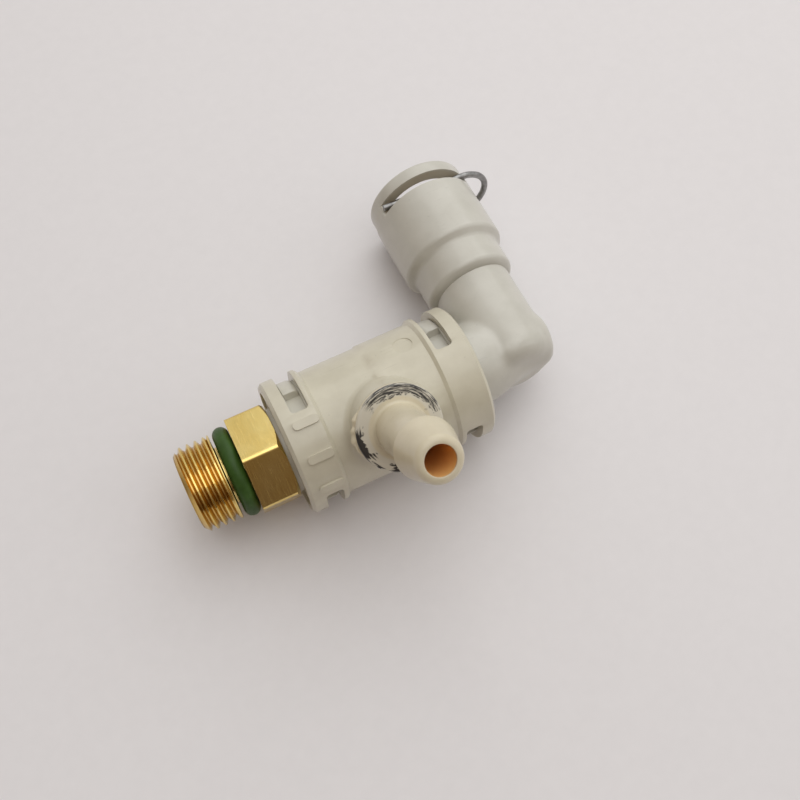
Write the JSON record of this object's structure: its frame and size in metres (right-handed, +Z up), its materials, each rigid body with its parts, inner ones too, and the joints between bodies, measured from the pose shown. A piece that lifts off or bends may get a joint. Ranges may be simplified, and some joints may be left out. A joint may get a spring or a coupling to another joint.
{
  "type": "self-priming valve",
  "caption": "Self-priming valve for a small pump: brass threaded inlet, moulded body with a vent on a hose tail, and a swivelling outlet elbow with a check valve and a wire tube clip.",
  "frame": {"origin": "on the valve's axis, at the middle of the inlet thread", "axes": "+X along the valve from the pump to the outlet elbow, +Z up as the valve lies on a table on its collars and the rim of its arm, +Y along the outlet arm seen from above"},
  "size_m": [0.048, 0.0405, 0.0279],
  "materials": {
    "brass": "turned",
    "green_rubber": "satin",
    "black_rubber": "satin",
    "ivory_moulding": "satin",
    "grey_white_moulding": "satin",
    "white_moulding": "satin",
    "cream_moulding": "satin",
    "spring_steel": "drawn wire"
  },
  "bodies": {
    "body": {"valve_body": "ivory_moulding", "hose_barb": "cream_moulding", "vent_spring": "spring_steel"},
    "inlet": {"inlet_fitting": "brass", "inlet_face_seal": "green_rubber", "inlet_plug": "white_moulding", "inlet_plug_seal": "black_rubber"},
    "elbow": {"outlet_elbow": "grey_white_moulding", "elbow_plug_seal": "black_rubber", "check_spring": "spring_steel"},
    "clip": {"tube_clip": "spring_steel"},
    "vent_valve": {"vent_piston": "white_moulding", "vent_seal": "black_rubber"},
    "check_valve": {"check_poppet": "white_moulding", "check_seal": "black_rubber"}
  },
  "joints": [
    {"name": "inlet_swivel", "type": "hinge", "parent": "body", "child": "inlet", "pos_m": [0.01985, 0, 0], "axis": [1, 0, 0], "range_deg": [-25, 25]},
    {"name": "elbow_swivel", "type": "hinge", "parent": "body", "child": "elbow", "pos_m": [0.01985, 0, 0], "axis": [1, 0, 0], "range_deg": [-25, 25]},
    {"name": "clip_pull", "type": "slide", "parent": "elbow", "child": "clip", "axis": [1, 0, 0], "range_m": [0, 0.012]},
    {"name": "vent_lift", "type": "slide", "parent": "body", "child": "vent_valve", "axis": [0, -0.6018, 0.7986], "range_m": [0, 0.00105], "stiffness_N_per_m": 60, "springref_m": -0.001, "deforming": ["vent_spring"]},
    {"name": "check_lift", "type": "slide", "parent": "elbow", "child": "check_valve", "axis": [1, 0, 0], "range_m": [0, 0.0018], "stiffness_N_per_m": 120, "springref_m": -0.002, "deforming": ["check_spring"]}
  ]
}
